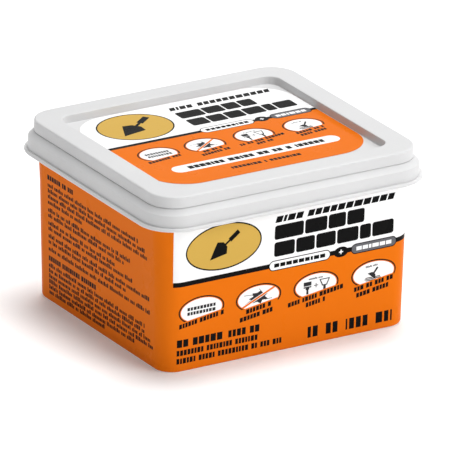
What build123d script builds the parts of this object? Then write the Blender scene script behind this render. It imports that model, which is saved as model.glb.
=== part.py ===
"""Rectangular tub of wall filler: the drafted tub, its lift-off lid, two label films and the filler."""
from build123d import *
import os

# Driving dimensions, in millimetres.  X is the width, Y the depth, Z up; the front faces -Y.
# Every outline is a rounded rectangle, named by how far it lies inside the outline of the lid's lip.
WIDTH = 115.0            # across the lip of the lid
DEPTH = 105.0            # front to back, across the lip of the lid
HEIGHT = 68.0            # from the table to the rim of the lid
CORNER_RADIUS = 14.0     # of the lip; outlines inside it keep the same corner centres
TUB_WALL = 1.2           # thickness of the tub's wall
LID_WALL = 1.0           # thickness of the lid's walls and panel
FILM = 0.12              # thickness of a label film

# The lid's outside, from its lip upwards
LIP_BASE = HEIGHT - 12.0         # underside of the out-turned lip
LIP_TOP = LIP_BASE + 1.2
SHOULDER_BASE = HEIGHT - 6.4     # where the skirt meets the sloping shoulder
SHOULDER_TOP = HEIGHT - 4.4
SKIRT_INSET = 1.2
SKIRT_DRAFT = 0.2                # how far the skirt leans in over its height
SHOULDER_RUN = 2.0               # the shoulder goes in as far as it goes up, at 45 degrees
CROWN_INSET = SKIRT_INSET + SKIRT_DRAFT + SHOULDER_RUN
CROWN_DRAFT = 0.2
CROWN_EDGE = 0.6                 # radius along the top edge
GROOVE = 0.3                     # height and depth of the groove where the crown meets the shoulder
LIP_EDGE = 0.4                   # radius along the lip's edges

# The panel set down inside the lid's rim
PANEL_TOP = HEIGHT - 2.8
PANEL_INSET = 12.4
PANEL_DRAFT = 0.5
PANEL_RADIUS = 5.0
PANEL_EDGE = 0.4                 # radius where the rim turns down to the panel

# The tub's wall leans out gently, then a little more near the top
FOOT_INSET = 7.0
WAIST_HEIGHT = 44.0
WAIST_INSET = 5.9
NECK_HEIGHT = HEIGHT - 8.6
NECK_INSET = 5.1
TUB_FLOOR = 1.9                  # height of the tub's inner floor
FOOT_RECESS = 0.6                # how far the middle of the base is lifted
FOOT_LAND = 4.0                  # from the foot of the wall in to the lifted middle of the base
FOOT_EDGE = 1.4                  # radius along the bottom edge

# The tub's rim: a ledge with a down-turned edge, sloped to fit under the lid's shoulder
RIM_BASE = HEIGHT - 9.2
RIM_SHOULDER = HEIGHT - 7.3
RIM_TOP = HEIGHT - 5.2
RIM_INSET = 2.85
RIM_TOP_INSET = 4.95
RIM_SKIRT = 1.0                  # thickness of the down-turned edge
RIM_LEDGE = 0.4                  # the hollow under the rim stops this far below its sloping part
RIM_ROOT = 0.02                  # the hollow stops this far clear of the wall, so that the wall stays whole

# The seal rib hangs from the lid into the mouth of the tub
SEAL_BASE = HEIGHT - 8.6
SEAL_LEAD = 1.5                  # height of its tapered lead-in
SEAL_GAP = 0.3                   # clearance to the tub's wall
SEAL_THICKNESS = 0.9

# The snap bead runs round the inside of the skirt, just under the tub's rim
BEAD_REACH = 0.35
BEAD_STEPS = (HEIGHT - 10.7, HEIGHT - 10.0, HEIGHT - 9.6, HEIGHT - 9.35)

# Labels
WRAP_BASE = 1.4
WRAP_TOP = LIP_BASE - 0.6
LID_LABEL_SIZE = (87.2, 72.8)
LID_LABEL_CENTRE = (0.7, 2.4)    # laid a little towards the back right
LID_LABEL_RADIUS = 15.0

FILL_VOLUME = 473.0e3            # cubic millimetres of filler


def outline(height, inset, radius=None):
    """A rounded rectangle at a height, inside the lip's outline by the inset."""
    corner = CORNER_RADIUS - inset if radius is None else radius
    with BuildSketch(Plane.XY.offset(height)) as ring:
        RectangleRounded(WIDTH - 2 * inset, DEPTH - 2 * inset, corner)
    return ring.sketch


def tier(base, top, base_inset, top_inset, radius=None, mode=Mode.ADD):
    """A block between two heights whose sides lean from one outline to the other."""
    sections = [outline(base, base_inset, radius), outline(top, top_inset, radius)]
    loft(sections, ruled=True, mode=mode)


def wall_inset(height):
    """How far the tub's outer wall lies inside the lip's outline at a height."""
    if height <= WAIST_HEIGHT:
        return FOOT_INSET + (WAIST_INSET - FOOT_INSET) * height / WAIST_HEIGHT
    lean = (NECK_INSET - WAIST_INSET) / (NECK_HEIGHT - WAIST_HEIGHT)
    return WAIST_INSET + lean * (height - WAIST_HEIGHT)


def wall_block(base, top, offset, mode=Mode.ADD):
    """A block that follows the tub's wall, moved inwards by an offset."""
    for low, high in ((base, min(top, WAIST_HEIGHT)), (max(base, WAIST_HEIGHT), top)):
        if high > low:
            tier(low, high, wall_inset(low) + offset, wall_inset(high) + offset, mode=mode)


def filler_height():
    """The height at which the filler reaches its volume, found by correcting a first guess."""
    height = WAIST_HEIGHT
    for _ in range(4):
        with BuildPart() as trial:
            wall_block(TUB_FLOOR, height, TUB_WALL)
        height = TUB_FLOOR + (height - TUB_FLOOR) * FILL_VOLUME / trial.part.volume
    return height


def bead_ring(root_inset, crest_inset):
    """The snap bead: a low ridge that slopes in from the skirt, runs level and slopes back."""
    start, crest, crest_end, end = BEAD_STEPS
    with BuildPart() as ring:
        tier(start, end, root_inset - LID_WALL / 2, root_inset - LID_WALL / 2)
        tier(start, crest, root_inset, crest_inset, mode=Mode.SUBTRACT)
        tier(crest, crest_end, crest_inset, crest_inset, mode=Mode.SUBTRACT)
        tier(crest_end, end, crest_inset, root_inset, mode=Mode.SUBTRACT)
    return ring.part


# The tub, with its ledged rim
with BuildPart() as tub:
    wall_block(0, NECK_HEIGHT, 0)
    fillet(tub.edges().group_by(Axis.Z)[0], FOOT_EDGE)
    tier(RIM_BASE, RIM_SHOULDER, RIM_INSET, RIM_INSET)
    tier(RIM_SHOULDER, RIM_TOP, RIM_INSET, RIM_TOP_INSET)
    # hollow under the ledge, between its down-turned edge and the wall
    with BuildSketch(Plane.XY.offset(RIM_BASE)):
        add(outline(RIM_BASE, RIM_INSET + RIM_SKIRT))
        add(outline(RIM_BASE, wall_inset(RIM_BASE) - RIM_ROOT), mode=Mode.SUBTRACT)
    extrude(amount=RIM_SHOULDER - RIM_BASE - RIM_LEDGE, mode=Mode.SUBTRACT)
    # the mouth and the inside
    wall_block(TUB_FLOOR, NECK_HEIGHT, TUB_WALL, mode=Mode.SUBTRACT)
    tier(NECK_HEIGHT, RIM_TOP, NECK_INSET + TUB_WALL, NECK_INSET + TUB_WALL, mode=Mode.SUBTRACT)
    # the lifted middle of the base
    tier(0, FOOT_RECESS, FOOT_INSET + FOOT_LAND, FOOT_INSET + FOOT_LAND + FOOT_RECESS, mode=Mode.SUBTRACT)
tub.part.label = "tub"

# The lid: lip, skirt, shoulder and crown outside; hollow below, with the panel set down in the middle
crown_top_inset = CROWN_INSET + CROWN_DRAFT
seal_inset = NECK_INSET + TUB_WALL + SEAL_GAP
skirt_top_inset = SKIRT_INSET + SKIRT_DRAFT
shoulder_offset = LID_WALL * (2 ** 0.5 - 1)      # keeps the sloping wall as thick as the others
with BuildPart() as lid:
    tier(LIP_BASE, LIP_TOP, 0, 0)
    fillet(lid.edges().group_by(Axis.Z)[0] + lid.edges().group_by(Axis.Z)[-1], LIP_EDGE)
    tier(LIP_TOP, SHOULDER_BASE, SKIRT_INSET, skirt_top_inset)
    tier(SHOULDER_BASE, SHOULDER_TOP, skirt_top_inset, CROWN_INSET)
    tier(SHOULDER_TOP, HEIGHT, CROWN_INSET, crown_top_inset)
    fillet(lid.edges().group_by(Axis.Z)[-1], CROWN_EDGE)
    # the groove at the foot of the crown
    with BuildSketch(Plane.XY.offset(SHOULDER_TOP)):
        add(outline(SHOULDER_TOP, CROWN_INSET - GROOVE))
        add(outline(SHOULDER_TOP, CROWN_INSET + GROOVE), mode=Mode.SUBTRACT)
    extrude(amount=GROOVE, mode=Mode.SUBTRACT)
    # the hollow underside
    tier(LIP_BASE, SHOULDER_BASE - shoulder_offset, SKIRT_INSET + LID_WALL, skirt_top_inset + LID_WALL,
         mode=Mode.SUBTRACT)
    tier(SHOULDER_BASE - shoulder_offset, SHOULDER_TOP - shoulder_offset,
         skirt_top_inset + LID_WALL, CROWN_INSET + LID_WALL, mode=Mode.SUBTRACT)
    tier(SHOULDER_TOP - shoulder_offset, HEIGHT - LID_WALL,
         CROWN_INSET + LID_WALL, crown_top_inset + LID_WALL, mode=Mode.SUBTRACT)
    # the seal rib, with a tapered lead-in
    tier(SEAL_BASE + SEAL_LEAD, HEIGHT - LID_WALL, seal_inset, seal_inset)
    tier(SEAL_BASE, SEAL_BASE + SEAL_LEAD, seal_inset + SEAL_GAP, seal_inset)
    tier(SEAL_BASE, HEIGHT - LID_WALL, seal_inset + SEAL_THICKNESS, seal_inset + SEAL_THICKNESS,
         mode=Mode.SUBTRACT)
    # the panel, and the wall that leads down to it from the rim
    tier(PANEL_TOP - LID_WALL, HEIGHT - LID_WALL / 2, PANEL_INSET + PANEL_DRAFT - LID_WALL,
         PANEL_INSET - LID_WALL, radius=PANEL_RADIUS + LID_WALL)
    tier(PANEL_TOP, HEIGHT, PANEL_INSET + PANEL_DRAFT, PANEL_INSET, radius=PANEL_RADIUS, mode=Mode.SUBTRACT)
    rim_face = lid.faces().filter_by(Axis.Z).sort_by(Axis.Z)[-1]
    fillet(rim_face.inner_wires()[0].edges(), PANEL_EDGE)
    # the snap bead inside the skirt
    skirt_inside = SKIRT_INSET + LID_WALL
    add(bead_ring(skirt_inside, skirt_inside + BEAD_REACH))
lid.part.label = "lid"


# The label wrapped round the tub, and the label on the lid's panel
with BuildPart() as wrap_label:
    wall_block(WRAP_BASE, WRAP_TOP, -FILM)
    wall_block(WRAP_BASE, WRAP_TOP, 0, mode=Mode.SUBTRACT)
wrap_label.part.label = "wrap_label"

with BuildPart() as lid_label:
    with BuildSketch(Plane.XY.offset(PANEL_TOP)):
        with Locations(LID_LABEL_CENTRE):
            RectangleRounded(*LID_LABEL_SIZE, LID_LABEL_RADIUS)
    extrude(amount=FILM)
lid_label.part.label = "lid_label"

# The filler, level in the tub
fill_top = filler_height()
with BuildPart() as filler:
    wall_block(TUB_FLOOR, fill_top, TUB_WALL)
filler.part.label = "spackling_compound"

os.makedirs("parts", exist_ok=True)
for piece in (tub, lid, wrap_label, lid_label, filler):
    export_step(piece.part, f"parts/{piece.part.label}.step")
    box = piece.part.bounding_box()
    print(f"{piece.part.label}: {piece.part.volume:.0f} mm3, z {box.min.Z:.2f} to {box.max.Z:.2f}")
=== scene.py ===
"""Looks of the filler tub: printed labels, filler surface, plastics, studio light and camera."""

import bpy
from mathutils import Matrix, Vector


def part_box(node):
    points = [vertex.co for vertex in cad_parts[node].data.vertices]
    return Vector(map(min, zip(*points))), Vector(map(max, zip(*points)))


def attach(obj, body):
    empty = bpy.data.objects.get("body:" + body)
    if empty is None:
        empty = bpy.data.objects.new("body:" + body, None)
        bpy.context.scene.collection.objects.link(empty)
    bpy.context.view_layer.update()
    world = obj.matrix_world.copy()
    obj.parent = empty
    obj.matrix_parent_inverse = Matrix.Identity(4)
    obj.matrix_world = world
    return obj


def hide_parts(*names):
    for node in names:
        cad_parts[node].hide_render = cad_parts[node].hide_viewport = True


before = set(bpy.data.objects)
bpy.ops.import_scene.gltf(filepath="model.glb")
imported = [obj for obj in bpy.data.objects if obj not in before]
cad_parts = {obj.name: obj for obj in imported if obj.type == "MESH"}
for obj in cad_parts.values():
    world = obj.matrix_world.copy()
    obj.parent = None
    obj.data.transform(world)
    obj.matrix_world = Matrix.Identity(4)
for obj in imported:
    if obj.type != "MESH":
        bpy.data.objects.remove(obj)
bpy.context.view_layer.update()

import math
import random
import bpy
from mathutils import Matrix, Vector
from mathutils.geometry import delaunay_2d_cdt

MM = 0.001                       # one millimetre; outlines and label layouts are written in millimetres

# Outlines of the tub, as in the design: rounded rectangles inside the outline of the lid's lip
LIP_LOW, LIP_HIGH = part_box("lid")
WIDTH = (LIP_HIGH.x - LIP_LOW.x) / MM
DEPTH = (LIP_HIGH.y - LIP_LOW.y) / MM
HEIGHT = LIP_HIGH.z / MM
CORNER_RADIUS = 14.0
FOOT_INSET, WAIST_INSET, NECK_INSET = 7.0, 5.9, 5.1
WAIST_HEIGHT, NECK_HEIGHT = 44.0, HEIGHT - 8.6
FOOT_EDGE = 1.4                  # radius along the bottom edge
TUB_WALL = 1.2
FILM = 0.12                      # from the plastic to a film's printed face
FILM_BACK = 0.01                 # from the plastic to the back of a film

# Lengths along the wrap label: straight stretches, and corners measured at the waist
FRONT_HALF = WIDTH / 2 - CORNER_RADIUS
SIDE_HALF = DEPTH / 2 - CORNER_RADIUS
CORNER_LENGTH = (CORNER_RADIUS - WAIST_INSET) * math.pi / 2
SIDE_CENTRE = FRONT_HALF + CORNER_LENGTH + SIDE_HALF
BACK_CENTRE = SIDE_CENTRE + SIDE_HALF + CORNER_LENGTH + FRONT_HALF
CORNER_STEPS = 12
SEAM = 0.2                       # each end of the label stops this far from the seam
WRAP_LOW = 0.3                   # where the label starts, on the rounded bottom edge
LID_LABEL_RADIUS = 15.0


def add_object(name, data):
    piece = bpy.data.objects.new(name, data)
    bpy.context.collection.objects.link(piece)
    return piece


# ---------------------------------------------------------------- materials

def add_noise(material, scale, detail):
    """A noise in object space."""
    nodes, links = material.node_tree.nodes, material.node_tree.links
    place = nodes.new("ShaderNodeTexCoord")
    noise = nodes.new("ShaderNodeTexNoise")
    noise.inputs["Scale"].default_value = scale
    noise.inputs["Detail"].default_value = detail
    links.new(place.outputs["Object"], noise.inputs["Vector"])
    return noise


def surface_grain(material, scale, roughness, spread, bump, bump_scale):
    """Roughness that drifts a little, and a fine bump, both from noise in object space."""
    nodes, links = material.node_tree.nodes, material.node_tree.links
    shader = nodes["Principled BSDF"]
    drift = add_noise(material, scale, 4.0)
    span = nodes.new("ShaderNodeMapRange")
    span.inputs["From Min"].default_value = 0.3
    span.inputs["From Max"].default_value = 0.7
    span.inputs["To Min"].default_value = roughness - spread
    span.inputs["To Max"].default_value = roughness + spread
    links.new(drift.outputs["Fac"], span.inputs["Value"])
    links.new(span.outputs["Result"], shader.inputs["Roughness"])
    peel = add_noise(material, bump_scale, 3.0)
    relief = nodes.new("ShaderNodeBump")
    relief.inputs["Strength"].default_value = bump
    relief.inputs["Distance"].default_value = 0.1 * MM
    links.new(peel.outputs["Fac"], relief.inputs["Height"])
    links.new(relief.outputs["Normal"], shader.inputs["Normal"])


def new_material(name, colour):
    material = bpy.data.materials.new(name)
    material.use_nodes = True
    shader = material.node_tree.nodes["Principled BSDF"]
    shader.inputs["Base Color"].default_value = (*colour, 1.0)
    return material, shader


def moulded_plastic(name, pale, deep):
    """White polypropylene: a satin skin, faint flow marks and a little light inside it."""
    material, shader = new_material(name, pale)
    nodes, links = material.node_tree.nodes, material.node_tree.links
    surface_grain(material, scale=60.0, roughness=0.42, spread=0.05, bump=0.35, bump_scale=900.0)
    flow = add_noise(material, 22.0, 5.0)
    ramp = nodes.new("ShaderNodeValToRGB")
    ramp.color_ramp.elements[0].position = 0.35
    ramp.color_ramp.elements[0].color = (*deep, 1.0)
    ramp.color_ramp.elements[1].position = 0.65
    ramp.color_ramp.elements[1].color = (*pale, 1.0)
    links.new(flow.outputs["Fac"], ramp.inputs["Fac"])
    links.new(ramp.outputs["Color"], shader.inputs["Base Color"])
    shader.inputs["Subsurface Weight"].default_value = 0.06
    shader.inputs["Subsurface Radius"].default_value = (1.0, 0.9, 0.8)
    shader.inputs["Subsurface Scale"].default_value = 1.0 * MM
    shader.inputs["IOR"].default_value = 1.49
    shader.inputs["Specular IOR Level"].default_value = 0.3
    return material


def printed_film(name, colour, roughness=0.3):
    """One ink under the film's faint gloss and ripple, which all the inks share."""
    material, shader = new_material(name, colour)
    surface_grain(material, scale=90.0, roughness=roughness, spread=0.05, bump=0.1, bump_scale=420.0)
    shader.inputs["IOR"].default_value = 1.5
    shader.inputs["Specular IOR Level"].default_value = 0.025
    return material


def filler_paste():
    """Smooth white filler, still wet."""
    material, shader = new_material("filler_paste", (0.86, 0.86, 0.84))
    surface_grain(material, scale=70.0, roughness=0.42, spread=0.1, bump=0.5, bump_scale=500.0)
    shader.inputs["Subsurface Weight"].default_value = 0.1
    shader.inputs["Subsurface Scale"].default_value = 1.5 * MM
    return material


# ---------------------------------------------------------------- artwork

class Artwork:
    """Flat print made of closed shapes, later ones over earlier ones. Each shape has one ink.

    The first shape is the label's outline, and what runs past it is cut off. Shapes are drawn from
    a middle line that lies at a distance along the label; cuts are not.
    """

    def __init__(self):
        self.middle = 0.0
        self.shapes = []
        self.cuts = []

    def shape(self, ink, points):
        self.shapes.append((ink, [Vector((point[0] + self.middle, point[1])) for point in points]))

    def cut(self, start, end):
        """A line where the film may bend."""
        self.cuts.append((Vector(start), Vector(end)))

    def box(self, ink, left, right, low, high, slant=0.0):
        """A rectangle, or with a slant a block that leans to the right."""
        lean = slant * (high - low)
        self.shape(ink, [(left, low), (right, low), (right + lean, high), (left + lean, high)])

    def oval(self, ink, centre, radii, steps=48):
        turn = [2 * math.pi * step / steps for step in range(steps)]
        self.shape(ink, [(centre[0] + radii[0] * math.cos(a), centre[1] + radii[1] * math.sin(a))
                         for a in turn])

    def pill(self, ink, left, right, low, high, steps=12):
        """A bar with round ends."""
        radius = (high - low) / 2
        middle = (low + high) / 2
        points = []
        for centre, start in ((right - radius, -math.pi / 2), (left + radius, math.pi / 2)):
            for step in range(steps + 1):
                angle = start + math.pi * step / steps
                points.append((centre + radius * math.cos(angle), middle + radius * math.sin(angle)))
        self.shape(ink, points)

    def rounded(self, ink, left, right, low, high, radius, steps=10):
        """A rectangle with round corners."""
        points = []
        corners = ((right - radius, low + radius, -90), (right - radius, high - radius, 0),
                   (left + radius, high - radius, 90), (left + radius, low + radius, 180))
        for x, y, start in corners:
            for step in range(steps + 1):
                angle = math.radians(start + 90 * step / steps)
                points.append((x + radius * math.cos(angle), y + radius * math.sin(angle)))
        self.shape(ink, points)

    def band(self, ink, start, end, thickness):
        """A straight bar between two points."""
        start, end = Vector(start), Vector(end)
        side = (end - start).orthogonal().normalized() * thickness / 2
        self.shape(ink, [start - side, end - side, end + side, start + side])

    def plus(self, ink, centre, reach, thickness):
        x, y = centre
        self.band(ink, (x - reach, y), (x + reach, y), thickness)
        self.band(ink, (x, y - reach), (x, y + reach), thickness)

    def bordered_pill(self, ink, left, right, low, high, border=0.35):
        self.pill("black", left - border, right + border, low - border, high + border)
        self.pill(ink, left, right, low, high)

    def triangles(self):
        """Vertices, triangles and each triangle's ink."""
        points, faces, edges = [], [], []
        for _, outline in self.shapes:
            area = sum(a.x * b.y - b.x * a.y for a, b in zip(outline, outline[1:] + outline[:1]))
            ordered = outline if area > 0 else outline[::-1]
            faces.append(list(range(len(points), len(points) + len(ordered))))
            points += ordered
        for start, end in self.cuts:
            edges.append((len(points), len(points) + 1))
            points += [start, end]
        inside_shapes, tolerance = 1, 1e-5
        corners, _, made, _, _, origins = delaunay_2d_cdt(points, edges, faces, inside_shapes, tolerance)
        kept = [(face, self.shapes[max(origin)][0]) for face, origin in zip(made, origins)
                if 0 in origin]
        used = sorted({corner for face, _ in kept for corner in face})
        place = {corner: number for number, corner in enumerate(used)}
        faces = [[place[corner] for corner in face] for face, _ in kept]
        return [corners[corner] for corner in used], faces, [ink for _, ink in kept]


def greek_blocks(art, ink, left, right, low, high, weights, gap=0.55, slant=0.0, radius=0.0):
    """Heavy blocks side by side in place of a headline; a weight of 0 is a space between words."""
    space = (high - low) * 0.45
    blocks = [weight for weight in weights if weight > 0]
    gaps = (len(weights) - 1) * gap + (len(weights) - len(blocks)) * space
    unit = (right - left - gaps) / sum(blocks)
    x = left
    for weight in weights:
        width = unit * weight if weight > 0 else space
        if weight > 0 and radius > 0:
            art.rounded(ink, x, x + width, low, high, radius, 4)
        elif weight > 0:
            art.box(ink, x, x + width, low, high, slant)
        x += width + gap


def greek_line(art, ink, start, length, size, rng, rise=0.0, heavy=False, capitals=False):
    """A row of small blocks, grouped as words, in place of small print."""
    x, letters = 0.0, rng.randint(2, 8)
    while x < length - size * 0.5:
        width = size * rng.uniform(0.38, 0.62) * (1.25 if heavy else 1.0)
        if letters == 0:
            x += size * 0.5
            letters = rng.randint(2, 9)
            continue
        tall = size if heavy or capitals or rng.random() < 0.3 else size * 0.72
        left, low = start[0] + x, start[1] + rise * x
        art.shape(ink, [(left, low), (left + width, low + rise * width),
                        (left + width, low + rise * width + tall), (left, low + tall)])
        x += width + size * 0.15
        letters -= 1


def emblem(art, centre, radii):
    """A plain oval badge with a dark trowel on it, leaning to the right. Sizes are shares of its height."""
    art.oval("black", centre, radii)
    art.oval("gold", centre, (radii[0] - 0.55, radii[1] - 0.55))
    size = radii[1]
    lean = Vector((0.78, 0.62)).normalized()
    side = lean.orthogonal()
    heel = Vector(centre) + lean * size * 0.1
    shoulder = heel - lean * size * 0.2
    art.shape("black", [heel - lean * size * 0.9, shoulder - side * size * 0.36,
                        heel - side * size * 0.14, heel + side * size * 0.14,
                        shoulder + side * size * 0.36])
    art.band("black", heel - lean * size * 0.02, heel + lean * size * 0.26, size * 0.09)
    art.band("black", heel + lean * size * 0.24, heel + lean * size * 0.76, size * 0.2)


# The four badges' drawings. Places and sizes inside a badge are shares of its radii.

def badge_smooth(art, centre, radii, rng):
    """Two rows of marks."""
    x, y = centre
    rx, ry = radii
    for row in (0.08, -0.32):
        weights = [rng.uniform(0.8, 1.2) for _ in range(9)]
        greek_blocks(art, "charcoal", x - rx * 0.68, x + rx * 0.68, y + ry * row,
                     y + ry * (row + 0.28), weights, gap=0.28)


def badge_crack(art, centre, radii, rng):
    """A broken patch with cracks running from it, struck through."""
    x, y = centre
    rx, ry = radii
    for angle, reach in ((25, 0.8), (75, 0.74), (140, 0.8), (200, 0.75), (325, 0.72)):
        turn = math.radians(angle)
        bend = Vector((x + rx * 0.42 * math.cos(turn), y + ry * 0.5 * math.sin(turn)))
        end = Vector((x + rx * reach * math.cos(turn + 0.22), y + ry * reach * math.sin(turn + 0.22)))
        art.band("charcoal", (x, y), bend, 0.28)
        art.band("charcoal", bend, end, 0.2)
    outline = []
    for step in range(14):
        turn = 2 * math.pi * step / 14
        reach = 0.5 if step % 2 else 0.3
        reach += rng.uniform(-0.04, 0.06)
        outline.append((x + rx * reach * math.cos(turn), y + ry * (reach + 0.08) * math.sin(turn)))
    art.shape("charcoal", outline)
    reach = Vector((rx * 0.72, ry * 0.62))
    art.band("white", Vector(centre) - reach, Vector(centre) + reach, 1.15)
    art.band("orange", Vector(centre) - reach * 1.08, Vector(centre) + reach * 1.08, 0.75)


def badge_tools(art, centre, radii, rng):
    """A brush and a scraper, with a plus between them."""
    x, y = centre
    rx, ry = radii
    brush, blade = x - rx * 0.42, x + rx * 0.42
    art.box("charcoal", brush - rx * 0.19, brush + rx * 0.19, y - ry * 0.1, y + ry * 0.42)
    art.box("white", brush - rx * 0.19, brush + rx * 0.19, y + ry * 0.02, y + ry * 0.07)
    art.box("charcoal", brush - rx * 0.09, brush + rx * 0.09, y - ry * 0.26, y - ry * 0.1)
    art.box("charcoal", brush - rx * 0.05, brush + rx * 0.05, y - ry * 0.66, y - ry * 0.26)
    art.shape("charcoal", [(blade - rx * 0.26, y + ry * 0.46), (blade + rx * 0.26, y + ry * 0.46),
                           (blade + rx * 0.12, y - ry * 0.16), (blade - rx * 0.12, y - ry * 0.16)])
    art.shape("white", [(blade - rx * 0.19, y + ry * 0.38), (blade + rx * 0.19, y + ry * 0.38),
                        (blade + rx * 0.08, y - ry * 0.06), (blade - rx * 0.08, y - ry * 0.06)])
    art.box("charcoal", blade - rx * 0.06, blade + rx * 0.06, y - ry * 0.64, y - ry * 0.16)
    art.plus("charcoal", centre, rx * 0.1, 0.3)
    greek_line(art, "charcoal", (x - rx * 0.36, y + ry * 0.56), rx * 0.72, 0.75, rng)


def badge_trowel(art, centre, radii, rng):
    """A trowel pressing filler on to a patch."""
    x, y = centre
    rx, ry = radii
    for row, half in ((-0.62, 0.36), (-0.5, 0.42), (-0.38, 0.38)):
        art.box("charcoal", x - rx * (half + 0.02), x + rx * (half - 0.06),
                y + ry * row, y + ry * (row + 0.08))
    heel = Vector((x - rx * 0.1, y - ry * 0.26))
    lean = Vector((0.62, 0.78)).normalized()
    side = lean.orthogonal()
    art.shape("charcoal", [heel - side * rx * 0.26, heel + side * rx * 0.26,
                           heel + side * rx * 0.1 + lean * ry * 0.34,
                           heel - side * rx * 0.1 + lean * ry * 0.34])
    art.band("charcoal", heel + lean * ry * 0.3, heel + lean * ry * 0.92, rx * 0.09)
    greek_line(art, "charcoal", (x - rx * 0.4, y + ry * 0.55), rx * 0.62, 0.75, rng, rise=0.06)


BADGES = (badge_smooth, badge_crack, badge_tools, badge_trowel)
CAPTION_RISE = 0.14              # how much a caption rises for its length
CAPTION_GAP = 0.75               # between the rows of a caption


def caption(art, middle, low, size, lines, rng):
    """Rows of small blocks that rise to the right, over an orange ground that covers the badge there."""
    wide = max(length for _, length in lines)
    left, right = middle - wide / 2 - 0.5, middle + wide / 2 + 0.5
    base = low - CAPTION_RISE * wide / 2
    ground_low, ground_high = base - 1.55, base + size + 0.4
    lean = CAPTION_RISE * (right - left)
    art.shape("orange", [(left, ground_low), (right, ground_low + lean),
                         (right, ground_high + lean), (left, ground_high)])
    for number, (offset, length) in enumerate(lines):
        start = middle + offset - length / 2
        line_low = low - number * (size + CAPTION_GAP) - CAPTION_RISE * length / 2
        greek_line(art, "black", (start, line_low), length, size, rng, rise=CAPTION_RISE, heavy=True)


def main_print(art, layout, right, rng):
    """The print that the front of the tub and the lid share, laid out by the panel's own measures."""
    stripe, half = layout["stripe"]
    art.box("white", layout["left"], right, stripe, layout["top"])
    art.box("black", layout["left"], right, stripe - half, stripe + half)
    x, y, rx, ry = layout["emblem"]
    emblem(art, (x, y), (rx, ry))
    lead, row_a, row_b = layout["headlines"]
    greek_blocks(art, "black", *lead,
                 (1, .45, 1.1, 1, 0, .95, .95, 1, .95, 1.05, 1.05, 1.25, 1.1, 1.05, 1.05, .95),
                 gap=0.5, slant=0.3)
    greek_blocks(art, "black", *row_a, (1.5, 1.15, .9, .9), radius=0.9)
    greek_blocks(art, "black", *row_b, (1.1, 1, 1.05, 1.15, .6, 1.15), radius=0.9)
    # two pills and a dot on the stripe
    low, high = layout["pill_heights"]
    pill_a, pill_b = layout["pills"]
    art.bordered_pill("white", *pill_a, low, high)
    art.bordered_pill("grey", *pill_b, low, high)
    margin = (high - low) * 0.28
    greek_blocks(art, "black", pill_a[0] + 1.9, pill_a[1] - 1.9, low + margin, high - margin,
                 (1, 1, 1.1, 1, 1.05, .9, .45, 1.05, 1), gap=0.4)
    greek_blocks(art, "white", pill_b[0] + 1.9, pill_b[1] - 1.9, low + margin, high - margin,
                 (1, 1, .45, 1.2, 1, 1), gap=0.4)
    dot_x, dot_rx, dot_ry = layout["dot"]
    dot = (dot_x, (low + high) / 2)
    art.oval("black", dot, (dot_rx, dot_ry), 28)
    art.plus("white", dot, 0.85, 0.42)
    # four badges: a brown ring, an orange gap and a white field with a drawing, then a caption
    badge_rx, badge_ry = layout["badge_radii"]
    field = (badge_rx - 0.95, badge_ry - 0.8)
    for draw, badge_x, lines in zip(BADGES, layout["badges"], layout["captions"]):
        centre = (badge_x, layout["badge_height"])
        art.oval("brown", centre, (badge_rx, badge_ry))
        art.oval("orange", centre, (badge_rx - 0.6, badge_ry - 0.5))
        art.oval("white", centre, field)
        draw(art, centre, field, rng)
        caption(art, badge_x, layout["caption_height"], layout["caption_size"], lines, rng)


# Layouts: distances across from the middle of the panel, and heights. A box is left, right, low, high.
FRONT_LAYOUT = {
    "left": -47.6, "top": 60.0, "stripe": (33.8, 0.9),
    "emblem": (-27.5, 45.3, 15.6, 8.9),
    "headlines": ((-6.6, 42.4, 50.1, 52.5), (-6.6, 30.6, 43.5, 49.0), (-6.6, 43.0, 37.0, 42.5)),
    "pills": ((-8.3, 16.6), (25.8, 44.2)), "pill_heights": (32.0, 35.3), "dot": (21.3, 3.0, 2.0),
    "badges": (-36.0, -12.5, 11.3, 35.3), "badge_height": 22.8, "badge_radii": (9.4, 5.2),
    "caption_height": 18.0, "caption_size": 1.75,
    "captions": (((0, 18),), ((0.5, 11), (0, 15)), ((0.5, 24), (0, 8)), ((0, 16), (0, 14))),
}

LID_LAYOUT = {
    "left": -60.0, "top": 60.0, "stripe": (9.3, 0.95),
    "emblem": (-22.0, 24.4, 14.6, 12.6),
    "headlines": ((-3.0, 38.6, 31.7, 34.6), (-3.0, 28.6, 23.2, 29.4), (-3.0, 40.6, 15.2, 21.6)),
    "pills": ((-3.4, 18.0), (25.8, 42.0)), "pill_heights": (7.4, 11.6), "dot": (21.8, 2.6, 2.3),
    "badges": (-28.5, -9.3, 11.0, 31.6), "badge_height": -2.9, "badge_radii": (8.0, 6.5),
    "caption_height": -8.8, "caption_size": 1.75,
    "captions": (((0, 15),), ((0.5, 9), (0, 12)), ((0.5, 20), (0, 7)), ((0, 13), (0, 12))),
}


def notice_print(art, rng):
    """The notice and the net content, as bars, along the bottom of the front and the back."""
    left = -45.8
    greek_line(art, "black", (left, 9.7), 20.0, 2.9, rng, heavy=True)
    greek_line(art, "black", (left + 21.2, 9.7), 14.6, 2.7, rng, heavy=True)
    greek_line(art, "black", (left, 6.5), 34.0, 2.1, rng, capitals=True)
    greek_line(art, "black", (left, 3.4), 43.5, 2.1, rng, capitals=True)
    greek_blocks(art, "black", 8.4, 43.6, 3.0, 7.2,
                 (.6, .9, 0, .9, .9, 0, .3, .9, .9, .9, 0, 1.2, .8, .3), gap=0.75)


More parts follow.
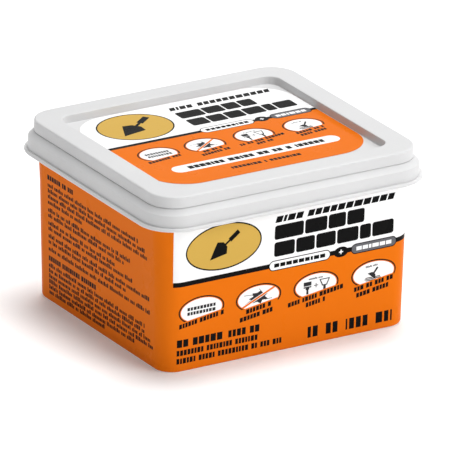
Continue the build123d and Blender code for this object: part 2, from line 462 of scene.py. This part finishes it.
def side_print(art, rng):
    """A side panel: headed paragraphs of small print, as (height, length, heading) for each row."""
    rows = ((47.4, 19, True), (44.6, 64, False), (42.4, 69, False), (40.2, 70, False), (38.0, 24, False),
            (35.0, 58, False), (32.9, 54, False), (30.0, 48, False), (27.9, 59, False),
            (25.0, 71, False), (22.8, 55, False), (20.0, 72, False), (16.2, 35, True),
            (13.7, 68, False), (11.6, 68, False), (9.5, 72, False), (7.4, 73, False), (5.3, 60, False),
            (3.3, 40, False))
    for height, length, heading in rows:
        size = 1.9 if heading else 1.65
        greek_line(art, "black", (-35.0, height), length, size, rng, heavy=heading)


def wrap_artwork():
    """The wrap label's print. Across runs round the tub from the middle of its front."""
    rng = random.Random(7)
    art = Artwork()
    start = FRONT_HALF - BACK_CENTRE + SEAM
    end = FRONT_HALF + BACK_CENTRE - SEAM
    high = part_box("wrap_label")[1].z / MM
    art.box("orange", start, end, WRAP_LOW, high)
    for middle, right in ((0.0, FRONT_HALF + CORNER_LENGTH), (BACK_CENTRE, FRONT_HALF - SEAM)):
        art.middle = middle
        main_print(art, FRONT_LAYOUT, right, rng)
        notice_print(art, rng)
    for middle in (-SIDE_CENTRE, SIDE_CENTRE):
        art.middle = middle
        side_print(art, rng)
    # lines where the film bends: round the corners, at the waist and over the bottom edge
    for bend in (FRONT_HALF, SIDE_CENTRE + SIDE_HALF):
        for step in range(CORNER_STEPS + 1):
            across = bend + CORNER_LENGTH * step / CORNER_STEPS
            for place in (across, -across):
                if start < place < end:
                    art.cut((place, WRAP_LOW), (place, high))
    for height in (0.6, 0.95, FOOT_EDGE, WAIST_HEIGHT):
        art.cut((start, height), (end, height))
    return art


def lid_artwork(low, high):
    """The lid label's print, in the lid's own plan coordinates."""
    rng = random.Random(11)
    art = Artwork()
    art.rounded("orange", low.x / MM, high.x / MM, low.y / MM, high.y / MM, LID_LABEL_RADIUS, 16)
    main_print(art, LID_LAYOUT, 60.0, rng)
    # a white pill with a row of blocks on it, and another row under it
    art.pill("white", -32.4, 36.4, -22.4, -16.2, 16)
    greek_blocks(art, "black", -26.0, 30.0, -20.7, -18.0,
                 (1, .9, 1, .9, .5, .8, .8, 0, 1.1, .9, .5, .9, .8, 0, 1, .9, 0, .7, .9, 0, .9, 0,
                  .4, .9, .8, .9, .9, .8), gap=0.3)
    greek_blocks(art, "black", -12.6, 15.8, -27.8, -25.9,
                 (.5, 1, .9, .9, 1, .5, 1, 1, 0, .5, 0, .9, .9, .9, .9, 1, .5, 1, 1), gap=0.3)
    return art


# ---------------------------------------------------------------- mapping the labels

def wall_inset(height):
    """How far the tub's outer wall lies inside the lip's outline at a height."""
    if height <= WAIST_HEIGHT:
        return FOOT_INSET + (WAIST_INSET - FOOT_INSET) * height / WAIST_HEIGHT
    lean = (NECK_INSET - WAIST_INSET) / (NECK_HEIGHT - WAIST_HEIGHT)
    return WAIST_INSET + lean * (height - WAIST_HEIGHT)


def wall_profile(height):
    """(inset, height, outward slope) on the wall, following the rounded bottom edge."""
    if height >= FOOT_EDGE:
        return wall_inset(height), height, 0.0
    turn = (FOOT_EDGE - height) / FOOT_EDGE
    inset = wall_inset(FOOT_EDGE) + FOOT_EDGE * (1 - math.cos(turn))
    return inset, FOOT_EDGE * (1 - math.sin(turn)), turn


def outline_place(across):
    """(corner centre, direction out) for a distance round the tub from the middle of its front."""
    sign = 1 if across >= 0 else -1
    distance = abs(across)
    if distance <= FRONT_HALF:
        return Vector((across, -SIDE_HALF)), Vector((0, -1))
    distance -= FRONT_HALF
    if distance <= CORNER_LENGTH:
        turn = distance / CORNER_LENGTH * math.pi / 2
        return Vector((sign * FRONT_HALF, -SIDE_HALF)), Vector((sign * math.sin(turn), -math.cos(turn)))
    distance -= CORNER_LENGTH
    if distance <= 2 * SIDE_HALF:
        return Vector((sign * FRONT_HALF, distance - SIDE_HALF)), Vector((sign, 0))
    distance -= 2 * SIDE_HALF
    if distance <= CORNER_LENGTH:
        turn = distance / CORNER_LENGTH * math.pi / 2
        return Vector((sign * FRONT_HALF, SIDE_HALF)), Vector((sign * math.cos(turn), math.sin(turn)))
    distance -= CORNER_LENGTH
    return Vector((sign * (FRONT_HALF - distance), SIDE_HALF)), Vector((0, 1))


def on_wall(point, lift):
    """The place and normal of a point of the wrap label, lifted off the wall by some of the film."""
    centre, out = outline_place(point.x)
    inset, height, turn = wall_profile(point.y)
    radius = CORNER_RADIUS - inset
    normal = Vector((out.x * math.cos(turn), out.y * math.cos(turn), -math.sin(turn)))
    place = Vector((centre.x + out.x * radius, centre.y + out.y * radius, height))
    return (place + normal * lift) * MM, normal


def film_mesh(name, art, inks, place):
    """A closed film: the printed face, a plain back and the thin edge between them."""
    corners, faces, face_inks = art.triangles()
    slots = sorted(set(face_inks))
    edges = dict.fromkeys((a, b) for face in faces for a, b in zip(face, face[1:] + face[:1]))
    rim = [(a, b) for a, b in edges if (b, a) not in edges]
    front = [place(corner, FILM) for corner in corners]
    back = [place(corner, FILM_BACK) for corner in corners]
    count = len(corners)
    verts = [point for point, _ in front] + [point for point, _ in back]
    all_faces = [list(face) for face in faces]
    all_faces += [[index + count for index in reversed(face)] for face in faces]
    all_faces += [[b, a, a + count, b + count] for a, b in rim]
    mesh = bpy.data.meshes.new(name)
    mesh.from_pydata(verts, [], all_faces)
    for ink in slots:
        mesh.materials.append(inks[ink])
    plain = slots.index("orange")
    for number, polygon in enumerate(mesh.polygons):
        polygon.material_index = slots.index(face_inks[number]) if number < len(faces) else plain
        polygon.use_smooth = True
    normals = []
    for polygon in mesh.polygons:
        if polygon.index < len(faces):
            normals += [front[index][1] for index in polygon.vertices]
        elif polygon.index < 2 * len(faces):
            normals += [-front[index - count][1] for index in polygon.vertices]
        else:
            normals += [polygon.normal.copy() for _ in polygon.vertices]
    mesh.normals_split_custom_set(normals)
    return add_object(name, mesh)


def make_labels():
    """The label round the tub and the label on the lid, with the print as inks on the film itself."""
    inks = {
        "orange": printed_film("ink_orange", (0.76, 0.163, 0.005)),
        "white": printed_film("ink_white", (0.9, 0.9, 0.9)),
        "black": printed_film("ink_black", (0.006, 0.006, 0.006), 0.26),
        "charcoal": printed_film("ink_charcoal", (0.03, 0.03, 0.033)),
        "brown": printed_film("ink_brown", (0.035, 0.014, 0.008)),
        "gold": printed_film("ink_gold", (0.6, 0.38, 0.08)),
        "grey": printed_film("ink_grey", (0.13, 0.13, 0.14)),
    }
    wrap = film_mesh("wrap_label_film", wrap_artwork(), inks, on_wall)
    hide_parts("wrap_label")
    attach(wrap, "tub_body")
    low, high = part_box("lid_label")
    art = lid_artwork(low, high)
    base = low.z

    def on_panel(point, lift):
        return Vector((point.x * MM, point.y * MM, base + lift * MM)), Vector((0, 0, 1))

    top = film_mesh("lid_label_film", art, inks, on_panel)
    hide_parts("lid_label")
    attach(top, "lid_body")


# ---------------------------------------------------------------- filler

FILLER_RINGS, FILLER_SIDES = 46, 128
FILLER_GAP = 0.05                # between the filler and the tub's wall


def filler_outline(angle, height):
    """Where a ray from the middle meets the filler's side, a rounded rectangle, at a height."""
    inset = wall_inset(height) + TUB_WALL + FILLER_GAP
    half_x, half_y = WIDTH / 2 - inset, DEPTH / 2 - inset
    radius = CORNER_RADIUS - inset
    ray = Vector((math.cos(angle), math.sin(angle)))
    point = ray * min(half_x / max(abs(ray.x), 1e-6), half_y / max(abs(ray.y), 1e-6))
    core = Vector((half_x - radius, half_y - radius))
    if abs(point.x) > core.x and abs(point.y) > core.y:
        corner = Vector((math.copysign(core.x, point.x), math.copysign(core.y, point.y)))
        along = ray.dot(corner)
        point = ray * (along + math.sqrt(max(along ** 2 - corner.length_squared + radius ** 2, 0.0)))
    return point


def swirl(point, share):
    """How the surface lies against the filler's top, by the share of the way out to the wall."""
    angle = math.atan2(point.y, point.x)
    wave = math.sin(point.length * 0.42 - angle + 0.6 * math.sin(angle * 2 + 1))
    slow = math.sin(point.x * 0.06 + 1.3) * math.sin(point.y * 0.08 + 0.4)
    dip = 0.35 + 1.5 * (1 - share ** 3)
    return -dip - (0.55 * wave + 0.35 * slow) * 0.8 * max(0.0, 1 - share ** 4)


def make_filler():
    """The filler as it was poured: a smooth swirl that rises a little to its edge."""
    low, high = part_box("spackling_compound")
    floor, top = low.z / MM, high.z / MM
    angles = [2 * math.pi * step / FILLER_SIDES for step in range(FILLER_SIDES)]
    verts = [Vector((0, 0, top + swirl(Vector((0.01, 0)), 0.0)))]
    for ring in range(1, FILLER_RINGS + 1):
        share = (ring / FILLER_RINGS) ** 0.9
        for angle in angles:
            point = filler_outline(angle, top) * share
            verts.append(Vector((point.x, point.y, top + swirl(point, share))))
    side_top = top - 2.0
    depths = (0.3, 0.6, 1.0)
    for depth in depths:
        height = side_top - (side_top - floor) * depth
        for angle in angles:
            point = filler_outline(angle, height)
            verts.append(Vector((point.x, point.y, height)))
    bands = FILLER_RINGS + len(depths) - 1
    faces = []
    for step in range(FILLER_SIDES):
        after = (step + 1) % FILLER_SIDES
        faces.append([0, 1 + step, 1 + after])
        for ring in range(bands):
            start, end = 1 + ring * FILLER_SIDES, 1 + (ring + 1) * FILLER_SIDES
            faces.append([start + step, end + step, end + after, start + after])
    faces.append([1 + bands * FILLER_SIDES + step for step in reversed(range(FILLER_SIDES))])
    mesh = bpy.data.meshes.new("filler_surface")
    mesh.from_pydata([vert * MM for vert in verts], [], faces)
    mesh.polygons.foreach_set("use_smooth", [len(face) < 5 for face in faces])
    mesh.materials.append(filler_paste())
    piece = add_object("filler_surface", mesh)
    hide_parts("spackling_compound")
    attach(piece, "tub_body")


def dress_mouldings():
    """The tub and the lid keep their own shapes, with moulded plastic on them."""
    tub_plastic = moulded_plastic("tub_plastic", (0.67, 0.67, 0.67), (0.64, 0.64, 0.64))
    lid_plastic = moulded_plastic("lid_plastic", (0.66, 0.66, 0.663), (0.635, 0.635, 0.638))
    for name, material in (("tub", tub_plastic), ("lid", lid_plastic)):
        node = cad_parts[name]
        for place in node.material_slots:
            place.material = material


# ---------------------------------------------------------------- studio

CAMERA_AZIMUTH, CAMERA_ELEVATION, CAMERA_ROLL = (math.radians(turn) for turn in (-31.3, 21.5, 0.85))
CAMERA_DISTANCE = 3.45
CAMERA_LENS = 772.8
AIM_HEIGHT = 34.5                # of the point in the middle of the object
AIM_RIGHT, AIM_UP = 1.04, -2.39  # how far the camera aims beside that point


def view_axes(azimuth, elevation, roll):
    """Right, up and back of a camera that looks at the object from an azimuth and elevation."""
    back = Vector((math.sin(azimuth) * math.cos(elevation),
                   -math.cos(azimuth) * math.cos(elevation), math.sin(elevation)))
    right = Vector((math.cos(azimuth), math.sin(azimuth), 0))
    up = back.cross(right)
    return (right * math.cos(roll) + up * math.sin(roll),
            up * math.cos(roll) - right * math.sin(roll), back)


def make_camera():
    """A long lens, a little above and to the left of the front."""
    right, up, back = view_axes(CAMERA_AZIMUTH, CAMERA_ELEVATION, CAMERA_ROLL)
    aim = (Vector((0, 0, AIM_HEIGHT)) + right * AIM_RIGHT + up * AIM_UP) * MM
    data = bpy.data.cameras.new("camera")
    data.lens = CAMERA_LENS
    data.sensor_width = 36.0
    data.clip_end = 20.0
    camera = add_object("camera", data)
    camera.matrix_world = Matrix((
        (right.x, up.x, back.x, 0), (right.y, up.y, back.y, 0), (right.z, up.z, back.z, 0),
        (0, 0, 0, 1)))
    camera.location = aim + back * CAMERA_DISTANCE
    bpy.context.scene.camera = camera


def turn_light(light, direction):
    """Turns a light so that it shines along a direction."""
    light.rotation_euler = Vector(direction).to_track_quat("-Z", "Y").to_euler()


def area_light(name, place, aim, size, power):
    data = bpy.data.lights.new(name, "AREA")
    data.shape = "SQUARE"
    data.size = size
    data.energy = power
    light = add_object(name, data)
    light.location = place
    turn_light(light, Vector(aim) - Vector(place))


def make_floor():
    """White paper, large enough to fill every view."""
    reach = 12.0
    mesh = bpy.data.meshes.new("floor")
    mesh.from_pydata([(-reach, -reach, 0), (reach, -reach, 0), (reach, reach, 0), (-reach, reach, 0)],
                     [], [(0, 1, 2, 3)])
    floor = add_object("floor", mesh)
    paper, shader = new_material("floor_paper", (0.92, 0.92, 0.92))
    shader.inputs["Roughness"].default_value = 0.9
    shader.inputs["Specular IOR Level"].default_value = 0.1
    shader.inputs["Emission Color"].default_value = (1.0, 1.0, 1.0, 1.0)
    shader.inputs["Emission Strength"].default_value = 0.16
    mesh.materials.append(paper)


def make_studio():
    """A broad overhead light, a key from the front right, a fill from the left and a rim light behind."""
    make_floor()
    sky = bpy.data.lights.new("overhead", "SUN")
    sky.energy = 2.6
    sky.angle = math.radians(30)
    turn_light(add_object("overhead", sky), (-0.2, -0.15, -1.4))
    area_light("key", place=(0.75, -1.2, 0.75), aim=(0, 0, 0.03), size=1.2, power=16.0)
    area_light("fill", place=(-1.3, -0.5, 0.25), aim=(0, 0, 0.03), size=0.8, power=3.0)
    area_light("rim", place=(0.4, 0.45, 0.45), aim=(0, 0, 0.06), size=0.4, power=0.7)
    world = bpy.data.worlds.new("studio")
    bpy.context.scene.world = world
    world.use_nodes = True
    surroundings = world.node_tree.nodes["Background"]
    surroundings.inputs["Color"].default_value = (1.0, 1.0, 1.0, 1.0)
    surroundings.inputs["Strength"].default_value = 0.11
    bpy.context.scene.view_settings.view_transform = "Standard"


make_labels()
make_filler()
dress_mouldings()
make_studio()
make_camera()
